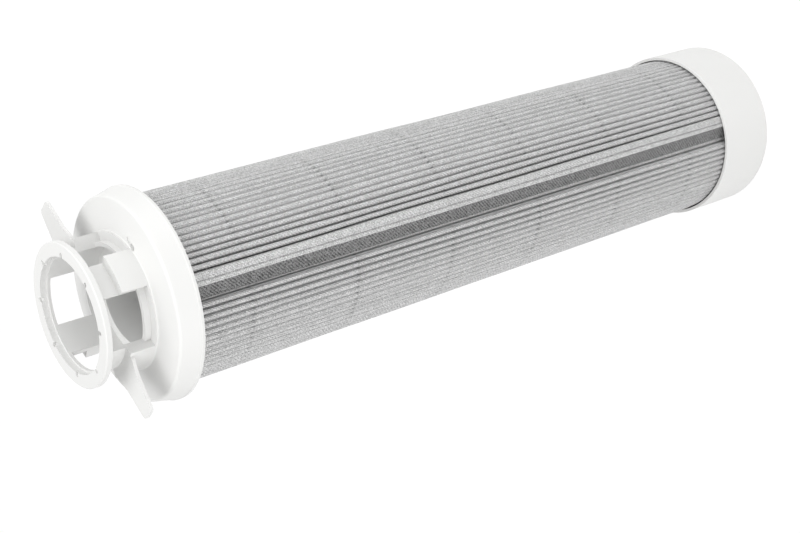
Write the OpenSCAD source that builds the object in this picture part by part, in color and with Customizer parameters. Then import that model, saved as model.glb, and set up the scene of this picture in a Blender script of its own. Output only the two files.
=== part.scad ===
// Return-line hydraulic filter element: a closed cartridge with a moulded head,
// a pleated filter pack with wire mesh on both faces, a grid core and a deep end cap.
// The element stands on its closed end cap, with its axis on Z and the head up.
// The two wings of the head lie along X.

/* [Overall] */
// Length of the element from the closed end to the head ring
element_len = 416; // [330:1:560]
// Height of the head, from the rear edge of its rim to the front of its ring
head_h = 37; // [36:0.5:48]
// Smoothness of the round faces
round_steps = 120; // [96:12:180]

/* [Head rim and face] */
// Outer diameter of the rim
rim_d = 98; // [95:0.5:110]
// Height of the rim band
rim_band_h = 1.6; // [1:0.1:4]
// Step in from the rim band to the skirt, on the radius
rim_step = 0.3; // [0.1:0.1:1]
// Height of the skirt's shoulder above the rear edge
shoulder_h = 11; // [9.5:0.1:12]
// Draft of the skirt between the band and the shoulder, on the radius
skirt_draft = 1.8; // [0.5:0.1:2]
// Rounding of the shoulder
shoulder_r = 1.6; // [1:0.1:3]
// Rise of the face from the shoulder to the foot of the legs
face_rise = 1.1; // [0.5:0.1:2.5]
// Wall of the skirt round the glue trough
skirt_wall = 2.9; // [2.4:0.1:3.2]
// Depth of the glue trough from the rear edge
trough_depth = 7; // [5.5:0.1:7.5]
// Wall between the glue trough and the floor of the cage
cage_floor_t = 2.4; // [1.8:0.1:3.2]

/* [Head cage] */
// Inner diameter of the cage
cage_bore_d = 50.4; // [48:0.2:52]
// Wall of the cage tube
cage_wall = 2; // [1.6:0.1:2.4]
// Outer diameter of the thick foot of each leg
leg_foot_d = 62.8; // [58:0.2:66]
// Height of the top of the leg feet above the rear edge of the rim
leg_foot_h = 25; // [22:0.5:27]
// Height of the window sills above the rear edge of the rim
window_sill_h = 16; // [15:0.5:19]
// Height of the window heads above the rear edge of the rim
window_head_h = 32.6; // [30:0.1:33]
// Angle covered by each leg that carries a wing
wing_leg_deg = 44; // [36:1:50]
// Angle covered by each leg without a wing
side_leg_deg = 34; // [26:1:40]
// Height of the low ring that joins the feet under the windows
foot_ring_h = 1; // [0.9:0.1:1.8]
// Fillet at the foot of the legs
leg_fillet = 0.6; // [0.3:0.1:0.8]

/* [Head ring] */
// Outer diameter of the ring
ring_d = 65.2; // [60:0.2:70]
// Step out from the bore of the cage to the bore of the ring, on the radius
ring_bore_step = 1; // [0.9:0.1:1.8]
// Thickness of the ring
ring_t = 3; // [2.5:0.1:4]
// Chamfer on the outer edges of the ring
ring_chamfer = 0.4; // [0.1:0.1:0.8]
// Number of small notches round the bore of the ring
notch_count = 8; // [4:1:12]
// Width of a notch
notch_w = 2; // [1.2:0.1:3]
// Reach of a notch into the ring, on the radius
notch_reach = 2.4; // [1:0.1:3]
// Depth of a notch
notch_depth = 1.2; // [0.6:0.1:2]

/* [Head wings] */
// Distance across the tips of the two wings
wing_span = 107; // [104:0.5:116]
// Thickness of a wing
wing_t = 1.5; // [1:0.1:3]
// Width of a wing at its tip
wing_tip_w = 9.8; // [8:0.2:13]
// Width of a wing where its root flare ends
wing_neck_w = 14.6; // [12:0.2:17]
// Width of a wing where it meets the leg foot
wing_root_w = 20; // [18:0.2:22]
// Length of the root flare, from the leg foot outwards
wing_flare_len = 6; // [3:0.5:9]
// Rounding of the tip corners
wing_tip_r = 2.2; // [1:0.1:4]

/* [Head slot] */
// Direction of the short slot in the face, beside a leg foot
slot_deg = 108.5; // [106:0.5:120]
// Distance of the slot's middle from the foot of the legs
slot_off = 1.8; // [1.6:0.1:4]
// Turn of the slot away from square to the radius
slot_turn_deg = 16; // [0:1:30]
// Length of the slot over its round ends
slot_len = 7.2; // [4:0.1:8]
// Width of the slot
slot_w = 2.4; // [1.4:0.1:2.8]
// Depth of the deep half of the slot
slot_depth = 1.4; // [1.1:0.1:2]
// Depth of the shallow half of the slot
slot_ledge_depth = 0.7; // [0.4:0.1:1]

/* [Spigot and core] */
// Bore through the spigot of the head
spigot_bore_d = 42; // [38:0.5:43]
// Reach of the spigot into the core, below the rear edge of the rim
spigot_len = 6; // [4:0.5:10]
// Inner diameter of the core tube
core_bore_d = 46; // [45.6:0.1:46.4]
// Wall of the core tube
core_wall = 1.5; // [1.2:0.1:1.6]
// Clearance between the core tube and the spigots inside it, on the radius
core_clear = 0.1; // [0.05:0.05:0.2]
// Number of ribs round the core tube
core_ribs = 12; // [8:2:16]
// Width of a rib of the core tube
core_rib_w = 3; // [2:0.1:4]
// Distance from one window row of the core tube to the next
core_row_pitch = 12.5; // [10:0.5:16]
// Height of a ring between two window rows
core_ring_h = 3.5; // [2:0.1:4]
// Height of the plain band at each end of the core tube
core_end_band = 14; // [12:1:20]

/* [Pleated pack] */
// Clearance between the pleat crests and the wall of the glue trough
pack_clear = 2.4; // [1.4:0.1:3]
// Number of pleats beside the seam
pleat_count = 80; // [68:1:80]
// Rounding of the outer folds at the middle of the pack's thickness
crest_r = 0.88; // [0.6:0.01:0.92]
// Rounding of the inner folds at the middle of the pack's thickness
valley_r = 0.47; // [0.44:0.01:0.5]
// Thickness of the outer wire mesh
outer_mesh_t = 0.2; // [0.15:0.01:0.22]
// Thickness of the outer fleece
outer_fleece_t = 0.1; // [0.08:0.01:0.12]
// Thickness of the glass fibre media
media_t = 0.25; // [0.2:0.01:0.26]
// Thickness of the inner fleece
inner_fleece_t = 0.1; // [0.08:0.01:0.12]
// Thickness of the inner wire mesh
inner_mesh_t = 0.15; // [0.1:0.01:0.16]
// Clearance between the inner folds and the core tube
pack_core_clear = 0.1; // [0.05:0.05:0.3]

/* [Side seam] */
// Direction of the middle of the side seam
seam_deg = 61.4; // [50:0.1:75]
// Angle between the two pleats beside the seam
seam_room_deg = 23.5; // [22.5:0.5:26]
// Width of the flat crest of the seam, between the middles of its two folds
seam_flat_w = 4.1; // [2.5:0.1:4.6]
// Angle from the pleat below the seam to the lip of its flap
seam_lip_deg = 4.4; // [4.3:0.1:5.5]
// Depth of the lip below the pleat crests
seam_lip_drop = 2.6; // [1.5:0.1:4]
// Rounding of the lip at the middle of the pack's thickness
seam_lip_r = 0.5; // [0.45:0.01:0.8]
// Thickness of the glue strip under the seam
seam_glue_t = 1.2; // [0.8:0.1:1.6]

/* [Glue beds] */
// Distance from the rear edge of the rim down to the glue surface in the head
head_glue_recess = 1; // [0.5:0.1:2]
// Glue between the end of the pack and the wall behind it
glue_under_pack = 1.5; // [1:0.1:2]
// Depth of the pack in the glue of the end cap
cap_glue_grip = 5; // [3:0.5:8]

/* [End cap] */
// Clearance between the pleat crests and the wall of the end cap
cap_clear = 0.6; // [0.4:0.1:2.6]
// Height of the end cap
cap_h = 36; // [24:0.5:45]
// Wall of the end cap
cap_wall = 1.6; // [0.8:0.1:2]
// Floor of the end cap
cap_floor = 2.5; // [2:0.1:4]
// Rounding of the lower edge of the end cap
cap_edge_r = 1.6; // [0.8:0.1:2]
// Rounding of the lip of the end cap
cap_lip_r = 0.3; // [0.1:0.1:0.4]
// Height of the core seat on the floor of the end cap
core_seat_h = 6; // [4:0.5:10]
// Wall of the core seat
core_seat_wall = 1.5; // [1:0.1:2.5]

/* [Hidden] */

$fn = round_steps;
// A cut runs past the surface it starts from by this much
over = 1;
// Straight pieces in an outer fold, in an inner fold and in a small rounding of an outline
crest_steps = 4;
valley_steps = 2;
edge_steps = 6;

// Heights along the axis
rim_z = element_len - head_h;
trough_z = rim_z + trough_depth;
cage_floor_z = trough_z + cage_floor_t;
ring_z = element_len - ring_t;
pack_z0 = cap_floor + glue_under_pack;
pack_z1 = trough_z - glue_under_pack;
face_z = rim_z + shoulder_h;
foot_z = face_z + face_rise;
leg_foot_z = rim_z + leg_foot_h;
sill_z = rim_z + window_sill_h;
window_z = rim_z + window_head_h;

// Radii of the head
rim_r = rim_d / 2;
trough_r = rim_r - rim_step - skirt_wall;
cage_r = cage_bore_d / 2;
cage_or = cage_r + cage_wall;
leg_foot_r = leg_foot_d / 2;
ring_r = ring_d / 2;
ring_bore_r = cage_r + ring_bore_step;
shoulder_top_r = rim_r - rim_step - skirt_draft;
wing_tip_x = wing_span / 2;

// Radii over the pleat crests and of the end cap, which follow the rim
pack_r = trough_r - pack_clear;
cap_bore_r = pack_r + cap_clear;
cap_r = cap_bore_r + cap_wall;

// Radii of the core and of what fits inside it
core_r = core_bore_d / 2;
core_or = core_r + core_wall;
core_fit_r = core_r - core_clear;

// The pack, as a run of folds. A fold is [direction, radius of its centre, bend], and the bend is the
// signed radius of the middle surface: positive over an outer fold, negative in an inner one.
pack_t = outer_mesh_t + outer_fleece_t + media_t + inner_fleece_t + inner_mesh_t;
pitch_deg = (360 - seam_room_deg) / (pleat_count - 1);
crest_cr = pack_r - crest_r - pack_t / 2;
valley_cr = core_or + pack_core_clear + valley_r + pack_t / 2;
first_pleat_deg = seam_deg + seam_room_deg / 2;
seam_flat_deg = 2 * asin(seam_flat_w / 2 / crest_cr);
seam_flat_mid_deg = first_pleat_deg - pitch_deg - seam_flat_deg / 2;
plain_folds = [
  for (i = [0:pleat_count - 1], step = [0, 0.5])
    step == 0
      ? [first_pleat_deg + i * pitch_deg, crest_cr, crest_r]
      : [first_pleat_deg + (i + step) * pitch_deg, valley_cr, -valley_r]
];
// The end of the pack closes the round as a flap: a lip, a slope and a flat crest over the glue strip
seam_folds = [
  [seam_deg - seam_room_deg / 2 + seam_lip_deg, crest_cr - seam_lip_drop, seam_lip_r],
  [seam_flat_mid_deg - seam_flat_deg / 2, crest_cr, crest_r],
  [seam_flat_mid_deg + seam_flat_deg / 2, crest_cr, crest_r],
  [first_pleat_deg - pitch_deg / 2, valley_cr, -valley_r]
];
folds = concat(plain_folds, seam_folds);

// The faces between the layers, measured outwards from the middle of the pack
face_0 = pack_t / 2;
face_1 = face_0 - outer_mesh_t;
face_2 = face_1 - outer_fleece_t;
face_3 = face_2 - media_t;
face_4 = face_3 - inner_fleece_t;
face_5 = face_4 - inner_mesh_t;

function on_circle(r, a) = [r * cos(a), r * sin(a)];
function fold_centre(i) = on_circle(folds[i][1], folds[i][0]);
function full_turn(a) = a - 360 * floor(a / 360);

// Direction of the outward normal of the line that touches two bends, whose centres lie v apart. The line
// keeps dot(v, normal) equal to the first bend less the second one.
function tangent_normal(v, bend_less) = atan2(v[1], v[0]) - acos(bend_less / norm(v));

// Normal of the flat flank between fold i and the one after it
function flank_normal(i) =
  let (j = (i + 1) % len(folds))
  tangent_normal(fold_centre(j) - fold_centre(i), folds[i][2] - folds[j][2]);

// Outline of the pack at a distance outwards from its middle surface
function pack_outline(out) = [
  for (i = [0:len(folds) - 1])
    let (
      before = flank_normal((i + len(folds) - 1) % len(folds)),
      after = flank_normal(i),
      outer = folds[i][2] > 0,
      turn = outer ? full_turn(after - before) : -full_turn(before - after),
      steps = outer ? crest_steps : valley_steps
    )
    for (k = [0:steps])
      fold_centre(i) + on_circle(folds[i][2] + out, before + turn * k / steps)
];

// Points of a round edge of a profile, about a centre, from one angle to another
function edge_arc(centre, r, from, to) = [
  for (k = [0:edge_steps]) centre + on_circle(r, from + (to - from) * k / edge_steps)
];

// A round solid between two radii and two heights
module sleeve(r_out, r_in, z0, z1) {
  difference() {
    translate([0, 0, z0])
      cylinder(r = r_out, h = z1 - z0);
    translate([0, 0, z0 - over])
      cylinder(r = r_in, h = z1 - z0 + 2 * over);
  }
}

// A flat sector between two radii, for cuts round the axis
module sector(r_in, r_out, mid_deg, span_deg) {
  steps = 8;
  polygon(concat(
    [for (k = [0:steps]) on_circle(r_out / cos(span_deg / steps / 2), mid_deg - span_deg / 2 + span_deg * k / steps)],
    [for (k = [steps:-1:0]) on_circle(r_in, mid_deg - span_deg / 2 + span_deg * k / steps)]
  ));
}

module head_profile() {
  skirt = [rim_r - rim_step, rim_z + rim_band_h];
  shoulder = [shoulder_top_r - shoulder_r, face_z - shoulder_r];
  skirt_deg = tangent_normal(shoulder - skirt, -shoulder_r);
  fillet = [leg_foot_r + leg_fillet, foot_z + leg_fillet];
  face_deg = tangent_normal(fillet - shoulder, shoulder_r + leg_fillet);
  polygon(concat(
    [
      [trough_r, rim_z],
      [rim_r, rim_z],
      [rim_r, skirt[1] - rim_step],
      skirt
    ],
    edge_arc(shoulder, shoulder_r, skirt_deg, face_deg),
    edge_arc(fillet, leg_fillet, face_deg + 180, 180),
    [
      [leg_foot_r, leg_foot_z],
      [cage_or, leg_foot_z],
      [cage_or, ring_z],
      [ring_r - ring_chamfer, ring_z],
      [ring_r, ring_z + ring_chamfer],
      [ring_r, element_len - ring_chamfer],
      [ring_r - ring_chamfer, element_len],
      [ring_bore_r, element_len],
      [ring_bore_r, ring_z],
      [cage_r, ring_z],
      [cage_r, cage_floor_z],
      [spigot_bore_d / 2, cage_floor_z],
      [spigot_bore_d / 2, rim_z - spigot_len],
      [core_fit_r, rim_z - spigot_len],
      [core_fit_r, trough_z],
      [trough_r, trough_z]
    ]
  ));
}

// Flat outline of the wing that points along X
module wing_outline() {
  neck = [leg_foot_r + wing_flare_len, wing_neck_w / 2];
  corner = [wing_tip_x - wing_tip_r, wing_tip_w / 2 - wing_tip_r];
  side_deg = tangent_normal(neck - corner, wing_tip_r);
  polygon(concat(
    [[cage_or, -wing_root_w / 2], [leg_foot_r, -wing_root_w / 2], [neck[0], -neck[1]]],
    edge_arc([corner[0], -corner[1]], wing_tip_r, -side_deg, 0),
    edge_arc(corner, wing_tip_r, 0, side_deg),
    [neck, [leg_foot_r, wing_root_w / 2], [cage_or, wing_root_w / 2]]
  ));
}

// The windows fill the room between the four legs. Below the sill they only cut the thick foot back to the
// wall of the cage, down to the low foot ring.
module cage_windows() {
  window_deg = 90 - (wing_leg_deg + side_leg_deg) / 2;
  from_wing = wing_leg_deg / 2 + window_deg / 2;
  difference() {
    for (quarter = [0:3])
      translate([0, 0, foot_z + foot_ring_h])
        linear_extrude(window_z - foot_z - foot_ring_h)
          sector(
            cage_r - over, leg_foot_r + over,
            quarter % 2 == 0 ? quarter * 90 + from_wing : (quarter + 1) * 90 - from_wing, window_deg
          );
    translate([0, 0, rim_z])
      cylinder(r = cage_or, h = sill_z - rim_z);
  }
}

module ring_notches() {
  for (i = [0:notch_count - 1])
    rotate([0, 0, i * 360 / notch_count])
      translate([0, 0, element_len - notch_depth])
        linear_extrude(notch_depth + over)
          polygon(concat(
            [[cage_r, -notch_w / 2]],
            edge_arc([ring_bore_r + notch_reach - notch_w / 2, 0], notch_w / 2, -90, 90),
            [[cage_r, notch_w / 2]]
          ));
}

// A slot with a deep half beside the leg and a shallow half
module face_slot() {
  end_y = (slot_len - slot_w) / 2;
  side_x = slot_w / 2;
  translate([0, 0, foot_z])
    rotate([0, 0, slot_deg])
      translate([leg_foot_r + slot_off, 0, 0])
        rotate([0, 0, -slot_turn_deg]) {
          translate([0, 0, -slot_depth])
            linear_extrude(slot_depth + over)
              polygon(concat(edge_arc([0, -end_y], side_x, 180, 360), [[side_x, 0], [-side_x, 0]]));
          translate([0, 0, -slot_ledge_depth])
            linear_extrude(slot_ledge_depth + over)
              polygon(concat(edge_arc([0, end_y], side_x, 0, 180), [[-side_x, 0], [side_x, 0]]));
        }
}

module head_cap() {
  color("WhiteSmoke")
    difference() {
      union() {
        rotate_extrude()
          head_profile();
        for (turn = [0, 180])
          rotate([0, 0, turn])
            translate([0, 0, leg_foot_z - wing_t])
              linear_extrude(wing_t)
                wing_outline();
      }
      cage_windows();
      ring_notches();
      face_slot();
    }
}

// One layer of the pack, between two of its faces
module pleated_layer(face_out, face_in) {
  translate([0, 0, pack_z0])
    linear_extrude(pack_z1 - pack_z0)
      difference() {
        polygon(pack_outline(face_out));
        polygon(pack_outline(face_in));
      }
}

module outer_mesh() {
  color("DarkGray")
    pleated_layer(face_0, face_1);
}

module outer_fleece() {
  color("Gainsboro")
    pleated_layer(face_1, face_2);
}

module filter_media() {
  color("Ivory")
    pleated_layer(face_2, face_3);
}

module inner_fleece() {
  color("Gainsboro")
    pleated_layer(face_3, face_4);
}

module inner_mesh() {
  color("DarkGray")
    pleated_layer(face_4, face_5);
}

// The glue strip lies flat against the clean side of the wide crest of the seam
module seam_glue() {
  chord_r = crest_cr * cos(seam_flat_deg / 2);
  color("Wheat")
    rotate([0, 0, seam_flat_mid_deg])
      translate([chord_r + crest_r + face_5 - seam_glue_t, -seam_flat_w / 2, pack_z0])
        cube([seam_glue_t, seam_flat_w, pack_z1 - pack_z0]);
}

module core_tube() {
  core_z0 = cap_floor;
  core_z1 = trough_z;
  rows = floor((core_z1 - core_z0 - 2 * core_end_band + core_ring_h) / core_row_pitch);
  rows_z0 = (core_z0 + core_z1 - rows * core_row_pitch + core_ring_h) / 2;
  window_w = 2 * core_or * sin(180 / core_ribs) - core_rib_w;
  color("WhiteSmoke")
    difference() {
      sleeve(core_or, core_r, core_z0, core_z1);
      // one cut makes the windows of two opposite columns
      for (i = [0:core_ribs / 2 - 1])
        rotate([90, 0, i * 360 / core_ribs])
          linear_extrude(2 * (core_or + over), center = true)
            for (row = [0:rows - 1])
              translate([-window_w / 2, rows_z0 + row * core_row_pitch])
                square([window_w, core_row_pitch - core_ring_h]);
    }
}

// Glue outside the pack, up to the wall round it
module glue_between_pleats(wall_r, z0, z1) {
  translate([0, 0, z0])
    linear_extrude(z1 - z0)
      difference() {
        circle(r = wall_r);
        polygon(pack_outline(face_0));
      }
}

module head_glue() {
  color("Tan")
    union() {
      sleeve(trough_r, core_or, pack_z1, trough_z);
      glue_between_pleats(trough_r, rim_z + head_glue_recess, pack_z1);
    }
}

module end_cap_glue() {
  color("Tan")
    union() {
      sleeve(cap_bore_r, core_or, cap_floor, pack_z0);
      glue_between_pleats(cap_bore_r, pack_z0, pack_z0 + cap_glue_grip);
    }
}

module end_cap() {
  color("WhiteSmoke")
    rotate_extrude()
      polygon(concat(
        [[0, 0]],
        edge_arc([cap_r - cap_edge_r, cap_edge_r], cap_edge_r, -90, 0),
        edge_arc([cap_r - cap_lip_r, cap_h - cap_lip_r], cap_lip_r, 0, 90),
        [
          [cap_bore_r, cap_h],
          [cap_bore_r, cap_floor],
          [core_fit_r, cap_floor],
          [core_fit_r, cap_floor + core_seat_h],
          [core_fit_r - core_seat_wall, cap_floor + core_seat_h],
          [core_fit_r - core_seat_wall, cap_floor],
          [0, cap_floor]
        ]
      ));
}

head_cap();
head_glue();
outer_mesh();
outer_fleece();
filter_media();
inner_fleece();
inner_mesh();
seam_glue();
core_tube();
end_cap_glue();
end_cap();
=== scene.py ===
"""Looks of a hydraulic filter element: a pleated mesh cartridge with a caged head and a deep end cap."""
import math

import bpy
import numpy as np
from bpy.props import FloatProperty, FloatVectorProperty, IntProperty, PointerProperty
from mathutils import Matrix, Vector


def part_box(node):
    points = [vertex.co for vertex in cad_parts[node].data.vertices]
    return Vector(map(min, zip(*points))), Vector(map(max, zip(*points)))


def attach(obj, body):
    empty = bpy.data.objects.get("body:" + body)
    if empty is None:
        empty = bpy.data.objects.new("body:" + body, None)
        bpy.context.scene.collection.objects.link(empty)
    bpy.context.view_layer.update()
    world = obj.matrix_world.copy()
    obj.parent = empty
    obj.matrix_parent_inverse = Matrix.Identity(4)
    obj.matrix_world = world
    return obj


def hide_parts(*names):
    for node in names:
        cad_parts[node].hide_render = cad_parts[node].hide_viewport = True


bl_info = {
    "name": "Filter Element",
    "version": (1, 0, 0),
    "blender": (4, 5, 0),
    "location": "View3D > Sidebar > Filter",
    "description": "Dresses a pleated hydraulic filter element",
    "category": "Object",
}

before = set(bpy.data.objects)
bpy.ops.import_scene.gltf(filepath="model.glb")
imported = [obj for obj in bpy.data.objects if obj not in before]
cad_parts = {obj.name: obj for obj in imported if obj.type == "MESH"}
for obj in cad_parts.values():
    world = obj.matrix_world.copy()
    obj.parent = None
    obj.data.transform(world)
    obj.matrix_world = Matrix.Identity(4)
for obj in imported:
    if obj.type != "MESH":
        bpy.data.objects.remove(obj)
MM = 0.001
FULL_TURN = 2 * math.pi
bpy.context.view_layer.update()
MESH_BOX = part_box("outer_mesh")
CORE_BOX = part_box("core_tube")

# Layers from the outside in: their solid, their slot and the steps of an outer and an inner fold
LAYERS = (
    ("outer_mesh", "wire_mesh", (7, 4)),
    ("outer_fleece", "fleece", (4, 2)),
    ("filter_media", "media", (4, 2)),
    ("inner_fleece", "fleece", (4, 2)),
    ("inner_mesh", "wire_mesh", (4, 2)),
)
# Faces between the layers, as distances out of the middle surface of the pack
LAYER_FACES = (0.4 * MM, 0.2 * MM, 0.1 * MM, -0.15 * MM, -0.25 * MM, -0.4 * MM)
# Rows of faces from one end of the pack to the other
SHEET_ROWS = 40
# Gap between the core and the pack
CORE_GAP = 0.1 * MM

# Extra columns behind the lip and on the flat crest, as shares of the way to the next column
SLOPE_COLUMNS = (0.08, 0.13)
RAISED_COLUMNS = (0.2, 0.3)
FLAT_COLUMNS = (0.37, 0.47)
# How strongly glue stains the lip, and how dark the painted shadow on the step of the lap is, where the
# slope of the flap has 1
LIP_STAIN = 0.2
LAP_SHADOW = 0.6

# Waves of the wander: how many run round the pack, and the half turns of each along the pack
WAVES = ((3, 2), (7, 3), (11, 4), (17, 5), (29, 3), (41, 2), (23, 7))
WAVE_SEED = 11
# What the sum of the waves is divided by, so that it seldom passes 1
WAVE_SUM = 3
# Heights over the lower end and under the upper end, between which the glue lets go of the pleats
HOLD_LOW = (6 * MM, 30 * MM)
HOLD_HIGH = (9 * MM, 5 * MM)
# Directions from the seam between which the slant sets in and ends, and the lean sets in
SLANT_STARTS = np.radians((1, 14))
SLANT_ENDS = np.radians((90, 200))
LEAN_STARTS = np.radians((8, 34))
# Shares of the pack's length between which the lean grows
LEAN_GROWS = (0.55, 1.0)
# Directions from the seam, and height over the floor, over which the painted shade on the pleats' sides
# fades
PAINTED_SHADE_FADES = np.radians((6, 31))
PAINTED_SHADE_HEIGHT = 150 * MM

# Section of the weave, in wire pitches: radius of a wire and height of its waves
WIRE_RADIUS = 0.31
WIRE_WAVE = 0.2
# Metal of the wires, roughness of the gaps, what the wires have less, and strength of the relief
WIRE_METAL = 0.3
GAP_ROUGHNESS = 0.6
WIRE_SMOOTHER = 0.15
WEAVE_RELIEF = 0.8
# Half the width of a press mark
PRESS_HALF = 1.2 * MM
# Tones of the weave, as shares of the wire's colour
# Painted shade on the low parts of the wires
FOOT_SHADE = 0.6
TWILL_TONE = 0.35
PATCH_TONE = 0.6
# Painted shade on the sides of the pleats
PAINTED_SHADE_TONE = 0.1
MARK_TONE = 0.5
# The same tone paints the shadow along the step of the lap
GLUE_AND_SHADOW_TONE = 0.45
# How much of each tone shows at most
# The spark spots are painted glints
SPARK_SHARE = 0.8
TWILL_SHARE = 0.25
PATCH_SHARE = 0.2
# Painted shade on the sides of the pleats
PAINTED_SHADE_SHARE = 0.7
# Painted light in the bottoms of the valleys
VALLEY_LIGHT_SHARE = 0.9
# How fast the marks, the painted shade on the sides and the painted light in the valley bottoms grow with
# the depth below the crests
MARK_GROWS = 1.5
PAINTED_SHADE_GROWS = 2.0
VALLEY_LIGHT_GROWS = 1.2
# Share of a press mark that shows on a crest, and of the painted shade between the lines of the twill
MARK_ON_CREST = 0.25
PAINTED_SHADE_BETWEEN = 0.1
# Depth where the painted light in the valley bottoms starts, in outer bends, and how much deeper and
# fainter it is under the painted shade
VALLEY_LIGHT_START = 0.35
VALLEY_LIGHT_DEEPER = 0.65
VALLEY_LIGHT_FAINTER = 0.3
# In mesh steeped in glue and in the painted shadow of the lap, the twill's share of the pattern, and the
# share of the darkening that the spots take away
GLUE_AND_SHADOW_TWILL = 0.75
GLUE_AND_SHADOW_SPOTS = 0.3

# The picture's right, up and depth, the camera's place and its lens
VIEW_RIGHT = Vector((0.48063, 0.41506, -0.77248))
VIEW_UP = Vector((-0.83281, 0.49193, -0.25384))
VIEW_FORWARD = Vector((-0.27465, -0.76533, -0.5821))
VIEW_FROM = Vector((0.21887, 0.53914, 0.65973))
LENS_MM = 65.07
SENSOR_MM = 36.0
# Lamps: how far right, up and near they stand in the picture, their size in metres and their power
LAMPS = (
    ("key", (-0.15, 1.0, 0.45), 0.9, 6.0),
    ("fill", (-0.9, 0.1, 0.9), 1.0, 9.5),
    ("low", (0.3, -0.8, 0.8), 1.0, 8.3),
)
# Where the lamps point, and how far off they stand
LAMP_AIM = Vector((0.0, 0.0, 0.24))
LAMP_DISTANCE = 1.25
WHITE = (1.0, 1.0, 1.0)
BLACK = (0.0, 0.0, 0.0)
# Light of the world, and the floor's half side, colour, glow and share of the glow
WORLD_LIGHT = 0.62
FLOOR_HALF = 4.0
FLOOR_COLOUR = (0.85, 0.85, 0.85)
FLOOR_GLOW = 1.05
FLOOR_GLOW_SHARE = 0.9


class PackSizes(bpy.types.PropertyGroup):
    """Sizes of the pleated pack, in metres. The defaults follow the solids."""
    crest_radius: FloatProperty(
        name="Crest radius", description="Radius over the pleat crests",
        default=43.4 * MM, unit="LENGTH")
    core_radius: FloatProperty(
        name="Core radius", description="Outer radius of the core tube",
        default=(CORE_BOX[1][0] - CORE_BOX[0][0]) / 2, unit="LENGTH")
    pleats: IntProperty(
        name="Pleats", description="Number of pleats beside the seam", default=80, min=12)
    crest_bend: FloatProperty(
        name="Crest bend", description="Bend of an outer fold at the middle of the pack",
        default=0.88 * MM, unit="LENGTH")
    valley_bend: FloatProperty(
        name="Valley bend", description="Bend of an inner fold at the middle of the pack",
        default=0.47 * MM, unit="LENGTH")
    thickness: FloatProperty(
        name="Pack thickness", description="Thickness of all layers together",
        default=0.8 * MM, unit="LENGTH")
    seam_angle: FloatProperty(
        name="Seam direction", description="Direction of the middle of the side seam",
        default=math.radians(61.4), subtype="ANGLE")
    seam_room: FloatProperty(
        name="Seam room", description="Angle between the two pleats beside the seam",
        default=math.radians(23.5), subtype="ANGLE")
    seam_flat: FloatProperty(
        name="Seam flat", description="Width of the flat crest of the seam",
        default=4.1 * MM, unit="LENGTH")
    lip_angle: FloatProperty(
        name="Lip direction", description="Angle from the pleat below the seam to the lip of its flap",
        default=math.radians(4.4), subtype="ANGLE")
    lip_drop: FloatProperty(
        name="Lip drop", description="Depth of the lip below the pleat crests",
        default=2.6 * MM, unit="LENGTH")
    lip_bend: FloatProperty(
        name="Lip bend", description="Bend of the lip at the middle of the pack",
        default=0.5 * MM, unit="LENGTH")
    lap: FloatProperty(
        name="Lap", description="Step where the mesh's end laps over its start, on the seam's flat",
        default=0.3 * MM, unit="LENGTH")
    sway: FloatProperty(
        name="Sway", description="How far the crests wander sideways along the pack",
        default=0.3 * MM, unit="LENGTH")
    swell: FloatProperty(
        name="Swell", description="How far the crests rise and sink along the pack",
        default=0.2 * MM, unit="LENGTH")
    slant: FloatProperty(
        name="Slant", description="Turn of the pleats below the seam, from end to end of the pack",
        default=math.radians(4.0), subtype="ANGLE")
    lean: FloatProperty(
        name="Lean", description="Turn of the pleats above the seam, over the length beside the head",
        default=math.radians(1.7), subtype="ANGLE")


class Finishes(bpy.types.PropertyGroup):
    """Colours of the finishes, pitch of the weave and places of the press marks."""
    moulding: FloatVectorProperty(
        name="Moulding", description="Colour of the moulded head and end cap",
        default=(0.7, 0.7, 0.69), subtype="COLOR", size=3)
    wire: FloatVectorProperty(
        name="Wire", description="Colour of the steel wire",
        default=(0.51, 0.51, 0.51), subtype="COLOR", size=3)
    # Painted highlight on the wire, also painted as light into the bottoms of the valleys
    glint: FloatVectorProperty(
        name="Glint", description="Colour of the spots where the wire catches the light",
        default=(0.94, 0.94, 0.94), subtype="COLOR", size=3)
    # Painted shade: the pale fleece between the wires, as it looks in their shade
    gap: FloatVectorProperty(
        name="Gap", description="Colour of what shows between the wires",
        default=(0.3, 0.3, 0.3), subtype="COLOR", size=3)
    fleece: FloatVectorProperty(
        name="Fleece", description="Colour of the fleece layers",
        default=(0.8, 0.8, 0.78), subtype="COLOR", size=3)
    media: FloatVectorProperty(
        name="Media", description="Colour of the glass fibre media",
        default=(0.86, 0.85, 0.8), subtype="COLOR", size=3)
    glue: FloatVectorProperty(
        name="Glue", description="Colour of the cast glue",
        default=(0.6, 0.54, 0.4), subtype="COLOR", size=3)
    weave_pitch: FloatProperty(
        name="Weave pitch", description="Distance between two wires of the mesh",
        default=0.88 * MM, unit="LENGTH")
    press_pitch: FloatProperty(
        name="Press pitch", description="Distance between two press marks round the pack",
        default=57.3 * MM, unit="LENGTH")
    press_start: FloatProperty(
        name="Press start", description="Height of the lowest press mark",
        default=6.45 * MM, unit="LENGTH")


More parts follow.
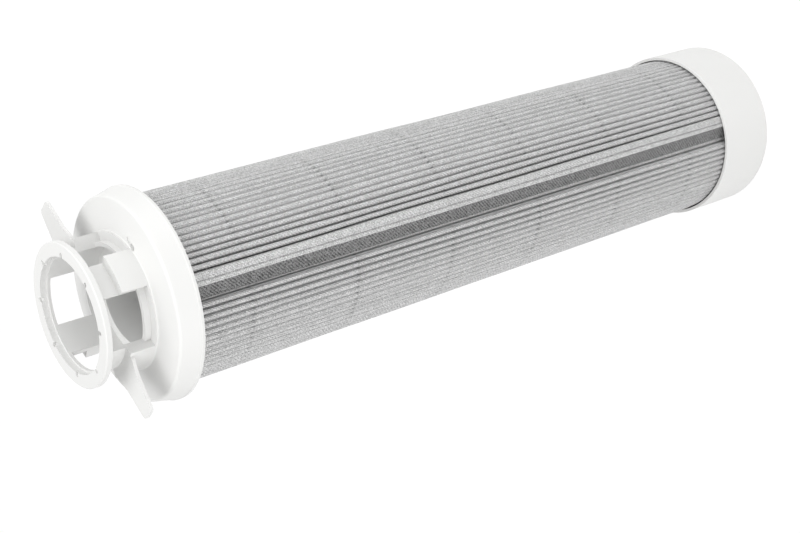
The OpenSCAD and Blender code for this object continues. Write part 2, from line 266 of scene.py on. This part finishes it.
class Value:
    """A number socket of a shader, with the operators that its sums need."""

    def __init__(self, tree, socket):
        self.tree = tree
        self.socket = socket

    def _math(self, operation, *operands):
        """A Math node's output, with the operands in its sockets in their order."""
        node = self.tree.nodes.new("ShaderNodeMath")
        node.operation = operation
        for slot, item in zip(node.inputs, operands):
            if isinstance(item, Value):
                self.tree.links.new(item.socket, slot)
            else:
                slot.default_value = item
        return Value(self.tree, node.outputs[0])

    def __add__(self, other):
        return self._math("ADD", self, other)

    def __radd__(self, other):
        return self._math("ADD", other, self)

    def __sub__(self, other):
        return self._math("SUBTRACT", self, other)

    def __rsub__(self, other):
        return self._math("SUBTRACT", other, self)

    def __mul__(self, other):
        return self._math("MULTIPLY", self, other)

    def __rmul__(self, other):
        return self._math("MULTIPLY", other, self)

    def __truediv__(self, other):
        return self._math("DIVIDE", self, other)

    def __rtruediv__(self, other):
        return self._math("DIVIDE", other, self)

    def cos(self):
        return self._math("COSINE", self)

    def abs(self):
        return self._math("ABSOLUTE", self)

    def floor(self):
        return self._math("FLOOR", self)

    def sqrt(self):
        return self._math("SQRT", self)

    def max(self, other):
        return self._math("MAXIMUM", self, other)

    def min(self, other):
        return self._math("MINIMUM", self, other)

    def over(self, other):
        return self._math("GREATER_THAN", self, other)

    def clamp(self):
        return self.max(0.0).min(1.0)


class Shader:
    """The nodes of a material or a world: makes them and joins them."""

    def __init__(self, owner, output):
        owner.use_nodes = True
        self.tree = owner.node_tree
        self.tree.nodes.clear()
        self.output = self.tree.nodes.new(output)

    def node(self, kind, settings=None, **sockets):
        """Adds a node of a kind, sets its settings first, then the values or links of its sockets."""
        node = self.tree.nodes.new(kind)
        for key, item in (settings or {}).items():
            setattr(node, key, item)
        for key, item in sockets.items():
            self.put(node.inputs[key.replace("_", " ")], item)
        return node

    def put(self, socket, item):
        """Links a value or an output to a socket, or sets the socket to a number or a colour."""
        if isinstance(item, Value):
            self.tree.links.new(item.socket, socket)
        elif isinstance(item, bpy.types.NodeSocket):
            self.tree.links.new(item, socket)
        elif socket.type == "RGBA":
            socket.default_value = (*tuple(item)[:3], 1.0)
        else:
            socket.default_value = item

    def value(self, socket):
        """A number socket, ready for sums."""
        return Value(self.tree, socket)

    def attribute(self, name):
        """A number that the points of the piece carry."""
        node = self.node("ShaderNodeAttribute", {"attribute_name": name})
        return self.value(node.outputs["Fac"])

    def noise(self, scale, detail):
        """Noise between 0 and 1 over the object's own place, at a scale in cells for each metre."""
        place = self.node("ShaderNodeTexCoord").outputs["Object"]
        node = self.node("ShaderNodeTexNoise", Vector=place, Scale=scale, Detail=detail)
        return self.value(node.outputs["Fac"])

    def cells(self, first, second):
        """A random number between 0 and 1 for each whole step of two values."""
        corner = self.node("ShaderNodeCombineXYZ", X=first.floor(), Y=second.floor()).outputs[0]
        node = self.node("ShaderNodeTexWhiteNoise", {"noise_dimensions": "2D"}, Vector=corner)
        return self.value(node.outputs["Value"])

    def mix(self, factor, first, second):
        """A colour between two colours, which are the node's inputs 6 and 7 and its output 2."""
        node = self.node("ShaderNodeMix", {"data_type": "RGBA"})
        self.put(node.inputs[0], factor)
        self.put(node.inputs[6], first)
        self.put(node.inputs[7], second)
        return node.outputs[2]

    def bump(self, height, distance, strength):
        """A normal tilted by a height, with the height's full range as deep as the distance."""
        node = self.node("ShaderNodeBump", Height=height, Distance=distance, Strength=strength)
        return node.outputs["Normal"]

    def rays(self, *kinds):
        """1 for a ray of one of the kinds and 0 for any other."""
        node = self.node("ShaderNodeLightPath")
        seen = self.value(node.outputs[kinds[0]])
        for kind in kinds[1:]:
            seen = seen.max(self.value(node.outputs[kind]))
        return seen

    def end(self, shader):
        """Ends the nodes with a shader."""
        self.tree.links.new(shader.outputs[0], self.output.inputs["Surface"])

    def blend(self, factor, first, second):
        """Ends the nodes with a mix of two shaders."""
        node = self.node("ShaderNodeMixShader")
        self.put(node.inputs[0], factor)
        self.put(node.inputs[1], first.outputs[0])
        self.put(node.inputs[2], second.outputs[0])
        self.end(node)


class Finish(Shader):
    """A material being built."""

    def __init__(self, name):
        self.material = bpy.data.materials.new(name)
        super().__init__(self.material, "ShaderNodeOutputMaterial")

    def surface(self, **sockets):
        """Ends the material with a Principled shader."""
        self.end(self.node("ShaderNodeBsdfPrincipled", **sockets))
        return self.material


def shade(colour, share):
    """A share of a colour's light."""
    return tuple(channel * share for channel in colour)


def clouded_finish(name, colour, clouds, grain, dark, rough, rougher, depth, strength):
    """A plain tone under soft clouds, with a fine relief.

    clouds and grain are each a scale in cells for each metre and a detail. With the clouds, the tone runs
    from the dark share of the colour to the colour itself, and the roughness from rough up by rougher."""
    finish = Finish(name)
    cloud = finish.noise(*clouds)
    return finish.surface(
        Base_Color=finish.mix(cloud, shade(colour, dark), colour),
        Roughness=rough + rougher * cloud if rougher else rough,
        Normal=finish.bump(finish.noise(*grain), depth, strength))


def moulding_finish(name, colour):
    """Pale moulded nylon: faint flow clouds, a fine sparked grain and slightly uneven gloss."""
    return clouded_finish(
        name, colour, clouds=(14.0, 4.0), grain=(2600.0, 2.0), dark=0.94,
        rough=0.42, rougher=0.12, depth=0.03 * MM, strength=0.6)


def fibre_finish(name, colour):
    """Matted fibre: a fine random pile over a soft cloudy tone, equally dull all over."""
    return clouded_finish(
        name, colour, clouds=(60.0, 3.0), grain=(3000.0, 4.0), dark=0.9,
        rough=0.9, rougher=0.0, depth=0.08 * MM, strength=0.8)


def glue_finish(name, colour):
    """Cast glue: a smooth skin with shallow swells and a few darker clouds."""
    return clouded_finish(
        name, colour, clouds=(45.0, 3.0), grain=(120.0, 2.0), dark=0.82,
        rough=0.3, rougher=0.15, depth=0.4 * MM, strength=0.5)


def wires(across, along, phase):
    """Cover and height of one set of parallel round wires, in wire pitches.

    The nearest wire's index is the whole number next to the place across. Its arch is the root of radius
    squared less distance squared, and its middle rises and sinks as cos(pi * (along + index + phase))."""
    index = (across + 0.5).floor()
    off = (across - index).abs()
    arch = (WIRE_RADIUS * WIRE_RADIUS - off * off).max(0.0).sqrt()
    lift = ((along + index + phase) * math.pi).cos() * WIRE_WAVE
    cover = 1.0 - off.over(WIRE_RADIUS)
    return cover, (arch + lift + WIRE_WAVE) * cover


def press_marks(height, sunk, patch, looks):
    """Marks round the pack at even heights, as strong as the patches and least on the crests.

    A mark falls from 1 to 0 over half its width, measured from the nearest whole number of pitches."""
    height = height - looks.press_start
    nearest = (height / looks.press_pitch + 0.5).floor() * looks.press_pitch
    mark = (1.0 - (height - nearest).abs() / PRESS_HALF).clamp()
    return mark * patch * (MARK_ON_CREST + (sunk * MARK_GROWS).clamp())


def weave_finish(name, looks):
    """Plain woven wire: two sets of round wires that pass over and under each other.

    The map gives the place along the folded sheet and along the pack, in metres. With a and b as that
    place in wire pitches, a wire of the first set is at its highest where a + b is even, and one of the
    other set where it is odd; the height is the larger of the two. The low parts of the wires get a
    painted shade, and the gaps between them are painted as the fleece looks in shade. Lighter and darker
    spots follow the twill cos(pi * (a - b)) and a random number for each half pitch; the lighter random
    spots are painted glints. The sides of the pleats get a painted shade, darker than their crests, most
    beside the seam, and the bottoms of the valleys get painted light. The flap of the seam is steeped in
    glue, which fills the gaps and darkens the wires, and the step of the lap gets a painted shadow in the
    same tones."""
    finish = Finish(name)
    wire = looks.wire
    uv = finish.node("ShaderNodeUVMap").outputs["UV"]
    place = finish.node("ShaderNodeSeparateXYZ", Vector=uv).outputs
    along_sheet = finish.value(place["X"]) / looks.weave_pitch
    along_pack = finish.value(place["Y"]) / looks.weave_pitch
    glued = finish.attribute("glued")
    sunk = finish.attribute("sunk")
    soot = finish.attribute("soot")
    cover_a, height_a = wires(along_sheet, along_pack, 0.0)
    cover_b, height_b = wires(along_pack, along_sheet, 1.0)
    cover = cover_a.max(cover_b)
    height = height_a.max(height_b)
    level = (height / (WIRE_RADIUS + 2 * WIRE_WAVE)).clamp()
    twill = ((along_sheet - along_pack) * math.pi).cos() * 0.5 + 0.5
    spark = finish.cells(along_sheet * 2.0, along_pack * 2.0)
    patch = finish.noise(scale=110.0, detail=4.0)
    # Painted shade on the sides of the pleats, beaded by the twill
    side = (sunk * PAINTED_SHADE_GROWS).clamp() * (PAINTED_SHADE_SHARE * soot)
    side = side * (PAINTED_SHADE_BETWEEN + (1 - PAINTED_SHADE_BETWEEN) * twill)
    # Painted light in the bottoms of the valleys, in the glint colour
    painted_valley_light = ((sunk - VALLEY_LIGHT_START - VALLEY_LIGHT_DEEPER * soot) * VALLEY_LIGHT_GROWS).clamp()
    painted_valley_light = painted_valley_light * (VALLEY_LIGHT_SHARE - VALLEY_LIGHT_FAINTER * soot)
    # Painted shade: the low parts of the wires are darker, and the gaps show the fleece as it looks in
    # shade
    tone = finish.mix(cover, looks.gap, finish.mix(level, shade(wire, FOOT_SHADE), wire))
    # The spark spots are painted glints, in the glint colour
    for share, colour in (
        (spark * SPARK_SHARE, looks.glint),
        (twill * TWILL_SHARE, shade(wire, TWILL_TONE)),
        (patch * PATCH_SHARE, shade(wire, PATCH_TONE)),
        (side, shade(wire, PAINTED_SHADE_TONE)),
        (painted_valley_light, looks.glint),
        (press_marks(finish.value(place["Y"]), sunk, patch, looks), shade(wire, MARK_TONE)),
    ):
        tone = finish.mix(share, tone, colour)
    # Glue darkens the slope of the flap; the same tones paint a shadow along the step of the lap
    pattern = twill * GLUE_AND_SHADOW_TWILL + spark * (1 - GLUE_AND_SHADOW_TWILL)
    glue_and_shadow_tone = finish.mix(pattern, BLACK, shade(wire, GLUE_AND_SHADOW_TONE))
    return finish.surface(
        Base_Color=finish.mix(glued * (1.0 - GLUE_AND_SHADOW_SPOTS * spark), tone, glue_and_shadow_tone),
        Metallic=cover * WIRE_METAL,
        Roughness=GAP_ROUGHNESS - WIRE_SMOOTHER * cover,
        Normal=finish.bump(height, distance=looks.weave_pitch, strength=WEAVE_RELIEF))


def make_mesh_object(name, points, quads, smooth=True):
    """Turns an array of points and an array of four corners a face into an object at the origin."""
    mesh = bpy.data.meshes.new(name)
    mesh.vertices.add(len(points))
    mesh.vertices.foreach_set("co", np.ascontiguousarray(points, dtype=np.float32).ravel())
    count = len(quads)
    mesh.loops.add(4 * count)
    mesh.loops.foreach_set("vertex_index", np.ascontiguousarray(quads, dtype=np.int32).ravel())
    mesh.polygons.add(count)
    mesh.polygons.foreach_set("loop_start", np.arange(0, 4 * count, 4, dtype=np.int32))
    mesh.polygons.foreach_set("use_smooth", np.full(count, smooth))
    mesh.update(calc_edges=True)
    mesh.validate()
    thing = bpy.data.objects.new(name, mesh)
    bpy.context.scene.collection.objects.link(thing)
    return thing


def fold_run(sizes):
    """The folds of the pack, as rows of direction, radius of the fold's centre and signed bend.

    Plain pleats take a crest and a valley each. The seam's flap adds a low lip, the two ends of its flat
    crest and one more valley."""
    pitch = (FULL_TURN - sizes.seam_room) / (sizes.pleats - 1)
    crest_centre = sizes.crest_radius - sizes.crest_bend - sizes.thickness / 2
    valley_centre = sizes.core_radius + CORE_GAP + sizes.valley_bend + sizes.thickness / 2
    first = sizes.seam_angle + sizes.seam_room / 2
    last = sizes.seam_angle - sizes.seam_room / 2
    steps = np.arange(2 * sizes.pleats)
    outer = steps % 2 == 0
    plain_folds = np.stack([
        first + steps * pitch / 2,
        np.where(outer, crest_centre, valley_centre),
        np.where(outer, sizes.crest_bend, -sizes.valley_bend)], axis=1)
    flat = 2 * math.asin(sizes.seam_flat / 2 / crest_centre)
    seam_folds = np.array([
        [last + sizes.lip_angle, crest_centre - sizes.lip_drop, sizes.lip_bend],
        [first - pitch - flat, crest_centre, sizes.crest_bend],
        [first - pitch, crest_centre, sizes.crest_bend],
        [first - pitch / 2, valley_centre, -sizes.valley_bend]])
    seam_folds[:, 0] += FULL_TURN
    return np.concatenate([plain_folds, seam_folds])


def folded_outline(folds, out, crest_steps, valley_steps):
    """Outline of the pack at a distance out of its middle surface.

    The flank between two folds touches both of them, so its normal n keeps dot(v, n) = bend - next bend,
    where v joins the two centres. Each fold is an arc about its centre, of radius bend + out, from one
    flank's normal to the next one's. The fold's points are spread evenly over the arc."""
    centres = folds[:, 1:2] * np.stack([np.cos(folds[:, 0]), np.sin(folds[:, 0])], axis=1)
    bend = folds[:, 2]
    step = np.roll(centres, -1, axis=0) - centres
    tilt = np.arccos((bend - np.roll(bend, -1)) / np.hypot(*step.T))
    after = np.arctan2(step[:, 1], step[:, 0]) - tilt
    before = np.roll(after, 1)
    turn = np.where(bend > 0, (after - before) % FULL_TURN, -((before - after) % FULL_TURN))
    orders = []
    arcs = []
    for kind, count in ((bend > 0, crest_steps), (bend < 0, valley_steps)):
        share = np.arange(count + 1) / count
        angle = before[kind][:, None] + turn[kind][:, None] * share[None]
        radius = (bend[kind] + out)[:, None, None]
        ring = np.stack([np.cos(angle), np.sin(angle)], axis=-1) * radius
        # A point's order is its fold's number, and up to a half more along the arc
        orders.append((np.nonzero(kind)[0][:, None] + share[None] * 0.5).ravel())
        arcs.append((centres[kind][:, None] + ring).reshape(-1, 2))
    return np.concatenate(arcs)[np.argsort(np.concatenate(orders), kind="stable")]


def lapped_outline(folds, sizes, out, lap, crest_steps, valley_steps):
    """The outline with the lap of the seam, the numbers of its glue and painted lap shadow, and sunk.

    From the lip to part of the way over the flat crest the outline lies one lap further out. Two columns
    behind the lip bound the slope that glue soaks, and four on the flat make the step, which gets a
    painted shadow. The depth below the crests, sunk, is given in outer bends of a crest, with the flap
    left out."""
    base = folded_outline(folds, out, crest_steps, valley_steps)
    raised = folded_outline(folds, out + lap, crest_steps, valley_steps)
    lip = sizes.pleats * (crest_steps + valley_steps + 2)
    slope = lip + crest_steps
    flat = lip + 2 * (crest_steps + 1)

    def between(outline, first, shares):
        """Points at shares of the way from one column of an outline to the next."""
        share = np.array(shares)[:, None]
        return outline[first] + share * (outline[first + 1] - outline[first])

    outline = np.concatenate([
        base[:lip],
        raised[lip:slope + 1],
        between(raised, slope, SLOPE_COLUMNS),
        raised[slope + 1:flat],
        between(raised, flat - 1, RAISED_COLUMNS),
        between(base, flat - 1, FLAT_COLUMNS),
        base[flat:]])
    glued = np.zeros(len(outline))
    glued[lip:slope + 2] = LIP_STAIN
    glued[slope + 2:slope + 4] = 1.0
    # Painted shadow along the step of the lap
    glued[flat + 3:flat + 5] = LAP_SHADOW
    sunk = (sizes.crest_radius - np.hypot(*outline.T)) / (sizes.crest_bend + sizes.thickness / 2)
    sunk[lip:slope + 4] = 0.0
    return outline, glued, sunk


def fade(value, start, end):
    """Smooth step from 0 at the start to 1 at the end."""
    share = np.clip((value - start) / (end - start), 0, 1)
    return share * share * (3 - 2 * share)


def wander(points, sizes, low, high):
    """Hand-folded irregularity: points turn and swell by waves that grow from the core to the crests.

    With run as the share of the pack's length, the turn is a sum of waves cos(k * direction + phase) *
    cos(slant + m * pi * run), and so is the swell. To them comes a slant of the pleats below the seam, in
    proportion to the height, and a lean of those above it over the length beside the head. All of it
    fades out where the glue holds the ends of the pack."""
    x, y, height = points.T
    radius = np.hypot(x, y)
    direction = np.arctan2(y, x)
    run = (height - low) / (high - low)
    reach = np.clip((radius - sizes.core_radius) / (sizes.crest_radius - sizes.core_radius), 0, 1)
    hold = fade(height, low + HOLD_LOW[0], low + HOLD_LOW[1])
    hold *= 1 - fade(height, high - HOLD_HIGH[0], high - HOLD_HIGH[1])
    random = np.random.default_rng(WAVE_SEED)
    turn = np.zeros(len(points))
    swell = np.zeros(len(points))
    for k, m in WAVES:
        for total in (turn, swell):
            phase, slant = random.uniform(0, FULL_TURN, 2)
            total += np.cos(k * direction + phase) * np.cos(slant + m * run * math.pi)
    away = (sizes.seam_angle - direction) % FULL_TURN
    below = fade(away, *SLANT_STARTS) * (1 - fade(away, *SLANT_ENDS))
    above = fade(-away % FULL_TURN, *LEAN_STARTS) * (1 - below)
    turn = turn * sizes.sway / sizes.crest_radius / WAVE_SUM * reach
    turn += sizes.slant * (run - 0.5) * below - sizes.lean * fade(run, *LEAN_GROWS) * above
    swell *= sizes.swell / WAVE_SUM * reach
    radius = radius + swell * hold
    direction = direction + turn * hold
    return np.stack([radius * np.cos(direction), radius * np.sin(direction), height], axis=1)


def painted_shade_on(points, sizes):
    """How much painted shade the pleats' sides get: 1 beside the seam, 0 away from it and beside the end
    cap.
    """
    direction = np.arctan2(points[:, 1], points[:, 0])
    away = np.abs((direction - sizes.seam_angle + math.pi) % FULL_TURN - math.pi)
    near, far = PAINTED_SHADE_FADES
    beside = 1 - np.clip((away - near) / (far - near), 0, 1)
    return beside * fade(points[:, 2], 0.0, PAINTED_SHADE_HEIGHT)


def sheet_quads(rows, columns):
    """Faces of a closed sheet: its outer face, its inner one turned round, and a strip at each end."""
    row, column = np.meshgrid(np.arange(rows), np.arange(columns), indexing="ij")
    here = row * columns + column
    there = row * columns + (column + 1) % columns
    outer = np.stack([here, there, there + columns, here + columns], axis=-1).reshape(-1, 4)
    inward = (rows + 1) * columns
    edge = np.arange(columns)
    beside = (edge + 1) % columns
    lower_end = np.stack([beside, edge, edge + inward, beside + inward], axis=1)
    upper_end = np.stack([edge, beside, beside + inward, edge + inward], axis=1) + rows * columns
    return np.concatenate([outer, outer[:, ::-1] + inward, lower_end, upper_end])


def sheet_map(outline, heights):
    """Map of the same faces: u is the length along the outline, and v is the height on both faces."""
    columns = len(outline)
    rows = len(heights) - 1
    length = np.hypot(*(np.roll(outline, -1, axis=0) - outline).T)
    place = np.concatenate([[0.0], np.cumsum(length)])
    u = np.stack([place[:-1], place[1:]], axis=1)[:, [0, 1, 1, 0]]
    v = np.stack([heights[:-1], heights[1:]], axis=1)[:, [0, 0, 1, 1]]
    outer = np.empty((rows, columns, 4, 2))
    outer[..., 0] = u[None]
    outer[..., 1] = v[:, None]
    outer = outer.reshape(-1, 4, 2)
    ends = np.zeros((2 * columns, 4, 2))
    ends[:columns, :, 0] = u[:, [1, 0, 0, 1]]
    ends[columns:, :, 0] = u
    return np.concatenate([outer, outer[:, ::-1], ends])


def pleated_sheet(name, sizes, out_face, in_face, crest_steps, valley_steps, lap):
    """A closed pleated sheet between two faces of the pack, from the pack's lower end to its upper end.

    Both faces are the same run of columns at two distances out of the middle surface, so the ends close
    with one strip of quads between them."""
    low = MESH_BOX[0][2]
    high = MESH_BOX[1][2]
    folds = fold_run(sizes)
    outer_line, glued, sunk = lapped_outline(folds, sizes, out_face, lap, crest_steps, valley_steps)
    inner_line = lapped_outline(folds, sizes, in_face, 0.0, crest_steps, valley_steps)[0]
    columns = len(outer_line)
    heights = np.linspace(low, high, SHEET_ROWS + 1)
    points = np.empty((2, len(heights), columns, 3))
    points[..., :2] = np.stack([outer_line, inner_line])[:, None]
    points[..., 2] = heights[:, None]
    points = wander(points.reshape(-1, 3), sizes, low, high)
    sheet = make_mesh_object(name, points, sheet_quads(SHEET_ROWS, columns))
    layer = sheet.data.uv_layers.new(name="UVMap")
    layer.data.foreach_set("uv", sheet_map(outer_line, heights).astype(np.float32).ravel())
    repeats = 2 * len(heights)
    values = {
        # Glue on the flap, and the painted shadow of the lap
        "glued": np.tile(glued, repeats),
        "sunk": np.tile(sunk, repeats),
        # Painted shade on the sides of the pleats
        "soot": painted_shade_on(points, sizes),
    }
    for attribute, numbers in values.items():
        layer = sheet.data.attributes.new(attribute, "FLOAT", "POINT")
        layer.data.foreach_set("value", numbers.astype(np.float32))
    return sheet


def dress(node, material):
    """Gives a solid of the frame a material in place of its own."""
    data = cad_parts[node].data
    data.materials.clear()
    data.materials.append(material)


def settle(piece, material, node):
    """Gives a piece its material and its body, and hides the solid that it stands for."""
    piece.data.materials.append(material)
    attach(piece, "root")
    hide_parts(node)


def make_floor():
    """A pale floor that is nearly white to the camera and still takes the shadow."""
    corners = np.array([[-1, -1, 0], [1, -1, 0], [1, 1, 0], [-1, 1, 0]]) * FLOOR_HALF
    floor = make_mesh_object("floor", corners, np.array([[0, 1, 2, 3]]), smooth=False)
    finish = Finish("pale_floor")
    paint = finish.node("ShaderNodeBsdfDiffuse", Color=FLOOR_COLOUR)
    glow = finish.node("ShaderNodeEmission", Color=WHITE, Strength=FLOOR_GLOW)
    seen = finish.rays("Is Camera Ray", "Is Glossy Ray", "Is Transmission Ray")
    finish.blend(seen * FLOOR_GLOW_SHARE, paint, glow)
    floor.data.materials.append(finish.material)


def make_world():
    """White to the camera, softer as a light."""
    world = bpy.data.worlds.new("studio")
    shader = Shader(world, "ShaderNodeOutputWorld")
    light = shader.node("ShaderNodeBackground", Color=WHITE, Strength=WORLD_LIGHT)
    white = shader.node("ShaderNodeBackground", Color=WHITE, Strength=1.0)
    shader.blend(shader.rays("Is Camera Ray", "Is Transmission Ray"), light, white)
    bpy.context.scene.world = world


def make_lamps():
    """Soft lamps placed by the picture's directions: a key at its top, a fill at its left, a low one."""
    for name, (right, up, near), size, power in LAMPS:
        toward = VIEW_RIGHT * right + VIEW_UP * up - VIEW_FORWARD * near
        data = bpy.data.lights.new(name, "AREA")
        data.shape = "SQUARE"
        data.size = size
        data.energy = power
        lamp = bpy.data.objects.new(name, data)
        lamp.location = LAMP_AIM + toward.normalized() * LAMP_DISTANCE
        lamp.rotation_euler = toward.to_track_quat("Z", "Y").to_euler()
        bpy.context.scene.collection.objects.link(lamp)


def make_camera():
    """The camera stands where the photograph's perspective puts it, with the picture's right and up."""
    data = bpy.data.cameras.new("camera")
    data.lens = LENS_MM
    data.sensor_width = SENSOR_MM
    data.sensor_fit = "HORIZONTAL"
    camera = bpy.data.objects.new("camera", data)
    turn = Matrix((VIEW_RIGHT, VIEW_UP, -VIEW_FORWARD)).transposed()
    camera.matrix_world = Matrix.Translation(VIEW_FROM) @ turn.to_4x4()
    bpy.context.scene.collection.objects.link(camera)
    bpy.context.scene.camera = camera


class FILTER_OT_stage(bpy.types.Operator):
    """Floor, world, lamps and camera"""
    bl_idname = "filter.stage"
    bl_label = "Stage"

    def execute(self, context):
        make_floor()
        make_world()
        make_lamps()
        make_camera()
        return {"FINISHED"}


class FILTER_OT_pack(bpy.types.Operator):
    """The five pleated layers of the filter pack"""
    bl_idname = "filter.pack"
    bl_label = "Pleated pack"

    def execute(self, context):
        sizes = context.scene.filter_pack
        looks = context.scene.filter_finishes
        materials = {
            "wire_mesh": weave_finish("woven_wire", looks),
            "fleece": fibre_finish("spun_fleece", looks.fleece),
            "media": fibre_finish("glass_media", looks.media),
        }
        for (node, slot, steps), out_face, in_face in zip(LAYERS, LAYER_FACES, LAYER_FACES[1:]):
            lap = sizes.lap if node == "outer_mesh" else 0.0
            sheet = pleated_sheet(node + "_sheet", sizes, out_face, in_face, *steps, lap)
            settle(sheet, materials[slot], node)
        return {"FINISHED"}


class FILTER_OT_mouldings(bpy.types.Operator):
    """The moulded head, end cap and core"""
    bl_idname = "filter.mouldings"
    bl_label = "Mouldings"

    def execute(self, context):
        nylon = moulding_finish("pale_nylon", context.scene.filter_finishes.moulding)
        for node in ("head_cap", "end_cap", "core_tube"):
            dress(node, nylon)
        return {"FINISHED"}


class FILTER_OT_glue(bpy.types.Operator):
    """The cast glue beds and the seam's glue strip"""
    bl_idname = "filter.glue"
    bl_label = "Glue"

    def execute(self, context):
        glue = glue_finish("cast_glue", context.scene.filter_finishes.glue)
        for node in ("head_glue", "end_cap_glue", "seam_glue"):
            dress(node, glue)
        return {"FINISHED"}


class FILTER_PT_panel(bpy.types.Panel):
    """Lists the sizes, the finishes and the steps of the filter element"""
    bl_idname = "FILTER_PT_panel"
    bl_label = "Filter element"
    bl_space_type = "VIEW_3D"
    bl_region_type = "UI"
    bl_category = "Filter"

    def draw(self, context):
        layout = self.layout
        for group in (context.scene.filter_pack, context.scene.filter_finishes):
            box = layout.box()
            for name in group.bl_rna.properties.keys():
                if name not in ("rna_type", "name"):
                    box.prop(group, name)
        for operator in OPERATORS:
            layout.operator(operator.bl_idname)


OPERATORS = (FILTER_OT_stage, FILTER_OT_pack, FILTER_OT_mouldings, FILTER_OT_glue)
CLASSES = (PackSizes, Finishes) + OPERATORS + (FILTER_PT_panel,)


def register():
    for item in CLASSES:
        bpy.utils.register_class(item)
    bpy.types.Scene.filter_pack = PointerProperty(type=PackSizes)
    bpy.types.Scene.filter_finishes = PointerProperty(type=Finishes)


def unregister():
    del bpy.types.Scene.filter_finishes
    del bpy.types.Scene.filter_pack
    for item in reversed(CLASSES):
        bpy.utils.unregister_class(item)


def main():
    """Registers the add-on and runs its steps in order."""
    register()
    bpy.context.scene.view_settings.view_transform = "Standard"
    bpy.ops.filter.stage()
    bpy.ops.filter.pack()
    bpy.ops.filter.mouldings()
    bpy.ops.filter.glue()


if __name__ == "__main__":
    main()
